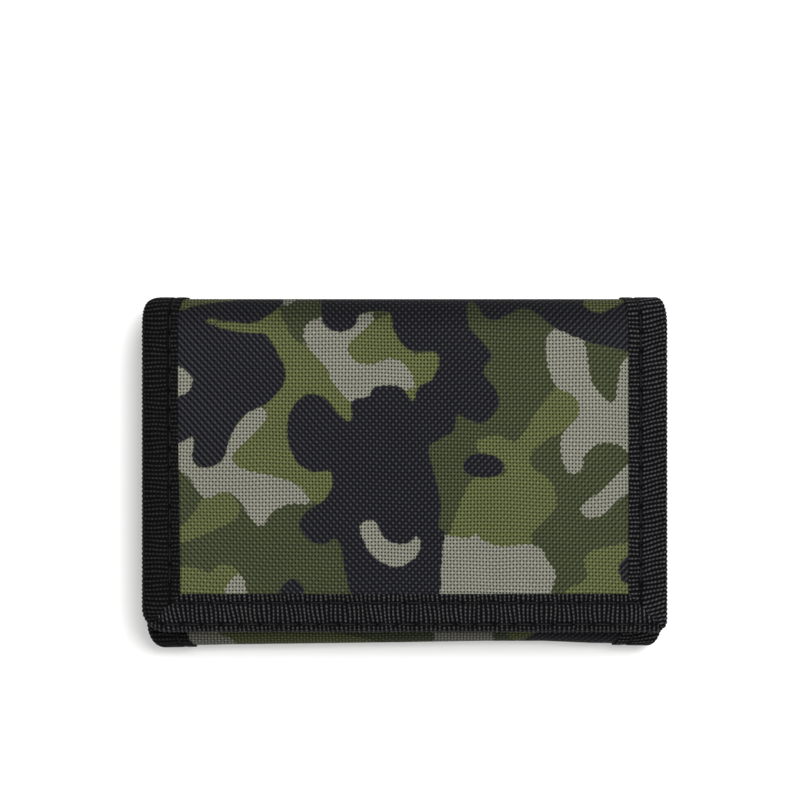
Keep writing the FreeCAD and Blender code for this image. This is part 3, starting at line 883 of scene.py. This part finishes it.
FOLDS = {"flap": UPPER_FOLD, "upper": UPPER_FOLD, "lower": LOWER_FOLD, "inner": LOWER_FOLD}
STACKS = {"flap": FLAP_STACK, "upper": BACK_STACK, "lower": BACK_STACK, "inner": INNER_STACK}
CORNERS = {("flap", "left"): (LEFT_CORNER, FLAP_END, 1),
           ("flap", "right"): (RIGHT_CORNER, FLAP_END, 1),
           ("inner", "left"): (INNER_CORNER, INNER_END, -1),
           ("inner", "right"): (INNER_CORNER, INNER_END, -1)}
tapes = {}
for stretch, path in tape_paths.items():
    half = narrowed(path, *HALVES[stretch])
    soft = LEFT_SOFT if stretch == "flap" else FOLD_SOFT
    bound = thinned(path, STACKS[stretch], FOLDS[stretch])
    # The left tapes take the darker copy of the grosgrain: painted shade.
    tapes[stretch, "left"] = side_tape(stretch + "_left_tape", path, -1, half, bound, soft, SHADED_GROSGRAIN,
                                       (LEFT_STITCH_IN,), 0.0, CORNERS.get((stretch, "left")))
    tapes[stretch, "right"] = side_tape(stretch + "_right_tape", path, 1, half, CLOTH, RIGHT_SOFT,
                                        GROSGRAIN, (STITCH_IN,), RIGHT_SLANT,
                                        CORNERS.get((stretch, "right")))
flap_end_tape = end_tape("flap_end_tape", FLAP_END, 1, FLAP_TOP, -HALF, HALF, FLAP_STACK, END_SOFT,
                         (LEFT_CORNER, RIGHT_CORNER), (END_STITCH_IN, EDGE_STITCH_IN), END_LEAN)
inner_end_tape = end_tape("inner_end_tape", INNER_END, -1, INNER_TOP, -INNER_HALF, INNER_HALF, INNER_STACK,
                          END_SOFT, (INNER_CORNER, INNER_CORNER), (STITCH_IN,))


EDGE_SOFT = 0.9  # for the tapes on the banknote side
LINING_STITCH_IN = 5.2
lining_edges = {}
for panel in ("flap", "back", "inner"):
    node = panel + "_lining_edge"
    low, high = span(node)
    level = high[2] - TAPE
    start = FLAP_END + END_SOFT if panel == "flap" else low[1]
    stop = INNER_END - END_SOFT if panel == "inner" else high[1]
    path = rounded_path([(start, level), (stop, level)], 1, TAPE_STEP, TAPE_STEP)
    half = high[0] if panel == "flap" else narrowed(path, high[0], LOWER_HALF - 1.2, LOWER_FOLD, 9)
    in_corner = (path[0][:, 0] < low[1]) | (path[0][:, 0] > high[1])
    bound = level - low[2] - TAPE - np.where(in_corner, 0.25, 0)
    lining_edges[panel] = side_tape(node + "_tape", path, 1, half, bound, EDGE_SOFT,
                                    lines=(LINING_STITCH_IN,), width=high[0] - low[0])


# ---- lining and pockets
FLAT_STEP = 1.5
TUCKED = HALF - TAPE_WIDTH / 2  # flat pieces end inside the bindings
LINING_HALF = HALF - 1.6
LINING_FOLD_HALF = {"flap": 57.0, "upper": 57.0, "lower": 54.0, "inner": 54.0}
LINING_RIGHT = 61.6  # the banknote side's edge
WINDOW = (-48.0, 48.0, -31.6, 6.4)
POCKET_STITCH_IN = 4.0
ZIP_LAP = 1  # how far the coin pocket's cloth covers the zip tapes


def ripple(x, y, height):
    """Slight unevenness of sewn cloth."""
    broad = np.sin(x * 0.19 + y * 0.07) * np.cos(y * 0.15 - x * 0.05)
    return height * (broad + 0.5 * np.sin(x * 0.43 - y * 0.31))


def flat_piece(low, high, up, wave):
    """Shape of a flat piece of cloth that fills a box; up is +1 where its upper side shows, or -1."""
    counts = [max(2, round((high[k] - low[k]) / FLAT_STEP)) + 1 for k in (0, 1)]
    x, y = np.meshgrid(np.linspace(low[0], high[0], counts[0]), np.linspace(low[1], high[1], counts[1]))
    lift = ripple(x, y, wave)
    shown, hidden = (high[2], low[2]) if up > 0 else (low[2], high[2])
    face = np.stack([x, y, shown + lift], axis=-1)
    back = np.stack([x, y, hidden + lift], axis=-1)
    return sheet_shape(face, back, np.stack([x, y], axis=-1))


def flat_cloth(name, low, high, up, finish, wave, hollow=None):
    """Flat piece of cloth in a box, with a rectangular opening (x0, x1, y0, y1) if hollow is given."""
    low = np.array([max(low[0], -TUCKED), low[1], low[2]])
    high = np.array([min(high[0], TUCKED), high[1], high[2]])
    if not hollow:
        return gather(name, [flat_piece(low, high, up, wave)], finish)
    x0, x1, y0, y1 = hollow
    parts = [((low[0], low[1]), (high[0], y0)), ((low[0], y1), (high[0], high[1])),
             ((low[0], y0), (x0, y1)), ((x1, y0), (high[0], y1))]
    return gather(name, [flat_piece((*p, low[2]), (*q, high[2]), up, wave) for p, q in parts], finish)


lining_levels = span("flap_lining")[0][2], span("back_lining")[1][2], span("inner_lining")[0][2]
lining_paths = fold_paths(span("top_fold_lining")[0][1], span("bottom_fold_lining")[1][1], lining_levels,
                          (FLAP_END + END_SOFT, INNER_END - END_SOFT), 0.5, 1.2, 0.4)
linings = {}
for stretch, path in lining_paths.items():
    half = narrowed(path, LINING_HALF, LINING_FOLD_HALF[stretch], FOLDS[stretch], 10)
    linings[stretch] = strip_cloth(stretch + "_lining_cloth", path, -half, np.minimum(half, LINING_RIGHT),
                                   TAFFETA, -LINING)

card_pockets, card_edges = [], []
for i in (1, 2, 3):
    low, high = span("card_pocket_%d" % i)
    card_pockets.append(flat_cloth("card_pocket_%d_cloth" % i, low, high, 1, TAFFETA, 0.05))
    low, high = span("card_pocket_edge_%d" % i)
    card_edges.append(end_tape("card_pocket_%d_tape" % i, high[1], -1, high[2] - TAPE, low[0], high[0],
                               high[2] - low[2] - 2 * TAPE, 0.35, lines=(POCKET_STITCH_IN,),
                               width=high[1] - low[1]))

low, high = span("coin_pocket")
tape_low = span("zip_tape_lower")[0]
tape_high = span("zip_tape_upper")[1]
coin_hollow = (tape_low[0] + ZIP_LAP, tape_high[0] - ZIP_LAP, tape_low[1] + ZIP_LAP, tape_high[1] - ZIP_LAP)
coin_cloth = flat_cloth("coin_pocket_cloth", low, high, -1, TAFFETA, 0.08, coin_hollow)
frame_cloth = flat_cloth("window_frame_cloth", *span("window_frame"), -1, TAFFETA, 0.0, WINDOW)
window_film = flat_cloth("id_window_film", *span("id_window"), -1, FILM, 0.06)

# ---- zip
WIRE = 0.34  # radius
COIL_PITCH = 1.3
MEET = 0.45  # how far each coil reaches into the other
zip_tapes, coils = {}, {}
for word, side in (("upper", 1), ("lower", -1)):
    zip_tapes[word] = flat_cloth("zip_tape_%s_cloth" % word, *span("zip_tape_" + word), -1, ZIP_TAPE, 0.0)
    low, high = span("zip_coil_" + word)
    inner_y, outer_y = (low[1] - MEET, high[1]) if side > 0 else (low[1], high[1] + MEET)
    turns = np.arange(0, (high[0] - low[0] - 2 * WIRE) / COIL_PITCH, 0.1)
    angle = 2 * math.pi * (turns + (0.5 if side > 0 else 0))
    line = np.stack([low[0] + WIRE + turns * COIL_PITCH,
                     (inner_y + outer_y) / 2 + ((outer_y - inner_y) / 2 - WIRE) * np.cos(angle),
                     (low[2] + high[2]) / 2 + ((high[2] - low[2]) / 2 - WIRE) * np.sin(angle)], axis=1)
    coils[word] = gather("zip_coil_%s_wire" % word, [tube(line, WIRE)], COIL)


# ---- hook and loop
GROUND = 0.45  # thickness of a patch's woven ground
ROOT = 0.4  # hooks and loops start inside it
HOOK_MARGIN = 1.6
HOOK_WIRE = 0.1
HOOK_REACH = 0.22
LOOP_WIRE = 0.08
LOOP_COUNT = 1500
LOOP_MARGIN = 1.2


def hook_rows():
    """Rows of small bent hooks that point down from the flap."""
    low, high = span("hook_patch")
    base = high[2] - ROOT
    crook = low[2] + HOOK_REACH + HOOK_WIRE
    shapes = []
    for x in np.arange(low[0] + HOOK_MARGIN, high[0] - LOOP_MARGIN, 1.5):
        for k, y in enumerate(np.arange(low[1] + HOOK_MARGIN, high[1] - LOOP_MARGIN, 1.4)):
            reach = HOOK_REACH if k % 2 else -HOOK_REACH
            tip = [(x + reach * (1 - math.cos(a)), y, crook - HOOK_REACH * math.sin(a))
                   for a in np.radians([60, 120, 170])]
            shapes.append(tube([(x, y, base), (x, y, crook)] + tip, HOOK_WIRE, 4))
    return shapes


def loop_pile():
    """Tangled loops, each a small arch that stands up from the inner panel."""
    low, high = span("loop_patch")
    base = low[2] + ROOT
    tall = high[2] - low[2] - GROUND
    shapes = []
    for _ in range(LOOP_COUNT):
        x = rng.uniform(low[0] + LOOP_MARGIN, high[0] - LOOP_MARGIN)
        y = rng.uniform(low[1] + LOOP_MARGIN, high[1] - LOOP_MARGIN)
        heading = rng.uniform(0, 2 * math.pi)
        width = rng.uniform(0.4, 0.8)
        rise = rng.uniform(0.6, 1.0) * tall
        lean = rng.uniform(-0.4, 0.4)
        angles = np.linspace(0, math.pi, 7)
        forward = -width * np.cos(angles)
        sideways = lean * np.sin(angles)
        line = np.stack([x + forward * math.cos(heading) - sideways * math.sin(heading),
                         y + forward * math.sin(heading) + sideways * math.cos(heading),
                         base + rise * np.sin(angles)], axis=1)
        shapes.append(tube(line, LOOP_WIRE, 4))
    return shapes


low, high = span("hook_patch")
hook_ground = flat_cloth("hook_patch_ground", (low[0], low[1], high[2] - GROUND), high, -1, HOOKS, 0.0)
low, high = span("loop_patch")
loop_ground = flat_cloth("loop_patch_ground", low, (high[0], high[1], low[2] + GROUND), 1, PILE, 0.0)
hooks = gather("hook_patch_hooks", hook_rows(), HOOKS)
loops = gather("loop_patch_loops", loop_pile(), PILE)


# ---- thread
SUNK = 0.02
PATCH_STITCH_IN = 0.8  # inside the edge of a hook or loop patch
ZIP_STITCH_OUT = 1.2  # outside the coin pocket's opening
WINDOW_STITCH_OUT = 1.6
STITCH_GAP = 0.35  # half the gap between one stitch and the next
STITCH_RADII = np.array([0.10, 0.17, 0.18, 0.18, 0.17, 0.10])
DIP = np.array([-0.30, -0.06, 0.0, 0.0, -0.06, -0.30])  # a stitch dips into the cloth at both ends


def stitch(line):
    return tube(line, STITCH_RADII, 5)


def stitches_along(path, half, side, line):
    """Stitches of a side tape, at a distance line in from its edge."""
    places, normals, along = path
    shapes = []
    for start in np.arange(STITCH / 2, along[-1] - STITCH, STITCH):
        at = start + np.linspace(STITCH_GAP, STITCH - STITCH_GAP, len(DIP))
        spot = np.stack([np.interp(at, along, places[:, k]) for k in (0, 1)], axis=1)
        normal = np.stack([np.interp(at, along, normals[:, k]) for k in (0, 1)], axis=1)
        y, z = (spot + normal * (TAPE - SUNK + DIP)[:, None]).T
        x = side * (np.interp(at, along, half) - line)
        shapes.append(stitch(np.stack([x, y + sagged(x, y), z], axis=1)))
    return shapes


def stitches_between(start, stop, up):
    """Straight run of stitches between two places on a flat face."""
    start, stop = np.array(start, float), np.array(stop, float)
    length = np.linalg.norm(stop - start)
    count = max(1, round(length / STITCH))
    pitch = length / count
    heading = (stop - start) / length
    shapes = []
    for i in range(count):
        at = i * pitch + np.linspace(STITCH_GAP, pitch - STITCH_GAP, len(DIP))
        line = start + at[:, None] * heading
        line[:, 2] += up * DIP
        shapes.append(stitch(line))
    return shapes


def stitches_across(left, right, y, level, up):
    return stitches_between((left, y, level), (right, y, level), up)


def stitches_round(x0, x1, y0, y1, level, up):
    """Rectangle of stitches."""
    spots = [(x0, y0, level), (x1, y0, level), (x1, y1, level), (x0, y1, level)]
    return [shape for a, b in zip(spots, spots[1:] + spots[:1]) for shape in stitches_between(a, b, up)]


def patch_stitches(node, level, up):
    """Rectangle of stitches just inside a patch's edge."""
    low, high = span(node)
    return stitches_round(low[0] + PATCH_STITCH_IN, high[0] - PATCH_STITCH_IN,
                          low[1] + PATCH_STITCH_IN, high[1] - PATCH_STITCH_IN, level, up)


threads = {}
for stretch, path in tape_paths.items():
    half = narrowed(path, *HALVES[stretch])
    shapes = stitches_along(path, half, -1, LEFT_STITCH_IN) + stitches_along(path, half, 1, STITCH_IN)
    threads[stretch] = gather(stretch + "_stitching", shapes, THREAD)
level = FLAP_TOP + TAPE - SUNK
shapes = stitches_across(-HALF + END_STITCH_IN, HALF - END_STITCH_IN, FLAP_END + END_STITCH_IN, level, 1)
shapes += stitches_across(-HALF + 5, HALF - 4, FLAP_END + EDGE_STITCH_IN, level, 1)
flap_end_thread = gather("flap_end_stitching", shapes, THREAD)
inside_half = INNER_HALF - STITCH_IN
shapes = stitches_across(-inside_half, inside_half, INNER_END - STITCH_IN, INNER_TOP + TAPE - SUNK, 1)
inner_end_thread = gather("inner_end_stitching", shapes, THREAD)
left, right, bottom, top = coin_hollow
level = span("coin_pocket")[0][2]
shapes = []
for row in (bottom - ZIP_STITCH_OUT, top + ZIP_STITCH_OUT):
    shapes += stitches_across(left + 1, right - 1, row, level, -1)
shapes += patch_stitches("hook_patch", span("hook_patch")[1][2] - GROUND - SUNK / 2, -1)
flap_inside_thread = gather("flap_inside_stitching", shapes, THREAD)
shapes = patch_stitches("loop_patch", span("loop_patch")[0][2] + GROUND + SUNK / 2, 1)
inner_face_thread = gather("loop_patch_stitching", shapes, THREAD)
left, right, bottom, top = WINDOW
shapes = stitches_round(left - WINDOW_STITCH_OUT, right + WINDOW_STITCH_OUT, bottom - WINDOW_STITCH_OUT,
                        top + WINDOW_STITCH_OUT, span("window_frame")[0][2], -1)
window_thread = gather("window_stitching", shapes, THREAD)
shapes = []
for i in (1, 2, 3):
    low, high = span("card_pocket_edge_%d" % i)
    shapes += stitches_across(low[0], high[0], high[1] - POCKET_STITCH_IN, high[2] - SUNK, 1)
pocket_thread = gather("card_pocket_stitching", shapes, THREAD)


# ---- stage, light and camera
FLOOR = 3000.0  # half its side
RIB_ROOM = 0.2  # the ribs below the back panel stand out this far
floor_corners = [(x * FLOOR, y * FLOOR, -RIB_ROOM) for x, y in ((-1, -1), (1, -1), (1, 1), (-1, 1))]
floor = make_mesh("floor", floor_corners, [[0, 1, 2, 3]], pale_floor())

world = bpy.data.worlds.new("studio")
bpy.context.scene.world = world
world.use_nodes = True
sky = world.node_tree.nodes["Background"].inputs
sky["Color"].default_value = (1.0, 1.0, 1.0, 1.0)
sky["Strength"].default_value = 0.50
bpy.context.scene.view_settings.view_transform = "Standard"


def softbox(name, place, size, power):
    """Soft square light that faces the wallet."""
    lamp = bpy.data.lights.new(name, "AREA")
    lamp.shape = "RECTANGLE"
    lamp.size = size
    lamp.size_y = size
    lamp.energy = power
    holder = bpy.data.objects.new(name, lamp)
    holder.location = place
    holder.rotation_euler = (-Vector(place)).to_track_quat("-Z", "Y").to_euler()
    bpy.context.scene.collection.objects.link(holder)


softbox("key", (0.38, 0.45, 0.95), 0.8, 15.0)
softbox("fill", (-0.3, -0.5, 1.0), 0.9, 4.0)

FRAME_WIDTH = 0.198  # what the camera takes in at the flap's level
DISTANCE = 0.9
SENSOR = 36.0
camera_data = bpy.data.cameras.new("camera")
camera_data.sensor_width = SENSOR
camera_data.lens = SENSOR * (DISTANCE - FLAP_TOP * MM) / FRAME_WIDTH
camera = bpy.data.objects.new("camera", camera_data)
camera.location = (-0.0011, 0.0182, DISTANCE)
bpy.context.scene.collection.objects.link(camera)
bpy.context.scene.camera = camera


def stands_for(nodes):
    if nodes:
        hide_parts(*nodes)


def bent(piece, stretch, slot, *nodes):
    """A piece that goes round the fold in its stretch of the strip: its placing is baked into its points and
    the CAD nodes it stands for are hidden.
    """
    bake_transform(piece)
    stands_for(nodes)


def fixed(piece, body, slot, *nodes):
    """A piece that moves with one panel."""
    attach(piece, body)
    stands_for(nodes)


def flat_size(width, length):
    return (width * MM, length * MM)


def tape_flat(stack, length, width=TAPE_WIDTH):
    """A tape's flat size: twice its width and round the edge, and its length."""
    return flat_size(2 * width + stack, length)


SHELLS = {"flap": ("flap_shell",), "upper": ("top_fold_shell",), "lower": ("back_shell",),
          "inner": ("inner_shell", "bottom_fold_shell")}
LININGS = {"flap": ("flap_lining",), "upper": ("top_fold_lining", "back_lining"),
           "lower": ("bottom_fold_lining",), "inner": ("inner_lining",)}
TAPES = {"flap": ("flap_binding_%s",), "upper": ("top_fold_binding_%s",), "lower": ("back_binding_%s",),
         "inner": ("inner_binding_%s", "bottom_fold_binding_%s")}
for stretch in outer:
    bent(cloth[stretch], stretch, "camo_oxford", *SHELLS[stretch])
    bent(linings[stretch], stretch, "lining_cloth", *LININGS[stretch])
    bent(threads[stretch], stretch, "grosgrain")
    wide = 2 * HALVES[stretch][0]
    flat_size(wide, outer[stretch][2][-1])
    flat_size(wide - 4, lining_paths[stretch][2][-1])
    for word in ("left", "right"):
        bent(tapes[stretch, word], stretch, "grosgrain", *[node % word for node in TAPES[stretch]])
        bound = STACKS[stretch] if word == "left" else CLOTH
        tape_flat(bound, tape_paths[stretch][2][-1])

fixed(flap_end_tape, "front_flap", "grosgrain", "flap_binding_end")
fixed(inner_end_tape, "inner_panel", "grosgrain", "inner_binding_end")
fixed(flap_end_thread, "front_flap", "grosgrain")
fixed(inner_end_thread, "inner_panel", "grosgrain")
tape_flat(FLAP_STACK, 2 * HALF)
tape_flat(INNER_STACK, 2 * INNER_HALF)
for panel, body in (("flap", "front_flap"), ("back", "back_panel"), ("inner", "inner_panel")):
    low, high = span(panel + "_lining_edge")
    fixed(lining_edges[panel], body, "grosgrain", panel + "_lining_edge")
    tape_flat(high[2] - low[2], high[1] - low[1], high[0] - low[0])
for i in (1, 2, 3):
    low, high = span("card_pocket_%d" % i)
    fixed(card_pockets[i - 1], "back_panel", "lining_cloth", "card_pocket_%d" % i)
    flat_size(high[0] - low[0], high[1] - low[1])
    low, high = span("card_pocket_edge_%d" % i)
    fixed(card_edges[i - 1], "back_panel", "grosgrain", "card_pocket_edge_%d" % i)
    tape_flat(0.5, high[0] - low[0], high[1] - low[1])
fixed(pocket_thread, "back_panel", "grosgrain")


def declare_flat(piece, node, body, slot, opening=0.0):
    """A flat sewn piece in the box of its node; opening is the area cut out of it, in square mm."""
    low, high = span(node)
    size = np.minimum(high, TUCKED) - np.maximum(low, -TUCKED)
    fixed(piece, body, slot, node)
    flat_size(size[0], size[1])
    (size[0] * size[1] - opening) * MM * MM


fixed(flap_inside_thread, "front_flap", "grosgrain")
fixed(inner_face_thread, "inner_panel", "grosgrain")
fixed(window_thread, "inner_panel", "grosgrain")
fixed(hooks, "front_flap", "hook_tape")
fixed(loops, "inner_panel", "loop_tape")
coin_opening = (coin_hollow[1] - coin_hollow[0]) * (coin_hollow[3] - coin_hollow[2])
window_opening = (WINDOW[1] - WINDOW[0]) * (WINDOW[3] - WINDOW[2])
declare_flat(coin_cloth, "coin_pocket", "front_flap", "lining_cloth", coin_opening)
declare_flat(frame_cloth, "window_frame", "inner_panel", "lining_cloth", window_opening)
declare_flat(window_film, "id_window", "inner_panel", "clear_pvc")
declare_flat(hook_ground, "hook_patch", "front_flap", "hook_tape")
declare_flat(loop_ground, "loop_patch", "inner_panel", "loop_tape")
for word in ("upper", "lower"):
    fixed(zip_tapes[word], "front_flap", "zip_tape", "zip_tape_" + word)
    fixed(coils[word], "front_flap", "zip_coil", "zip_coil_" + word)

finishes = {"camo_oxford": OXFORD, "lining_cloth": TAFFETA, "grosgrain": GROSGRAIN,
            "loop_tape": PILE, "hook_tape": HOOKS, "clear_pvc": FILM,
            "zip_tape": ZIP_TAPE, "zip_coil": COIL, "zip_metal": PAINT}
slot_of = {part["node"]: part["material_slot"] for part in frame["record"]["subparts"]}
for name, node in frame["nodes"].items():
    node.data.materials.clear()
    node.data.materials.append(finishes[slot_of[name]])
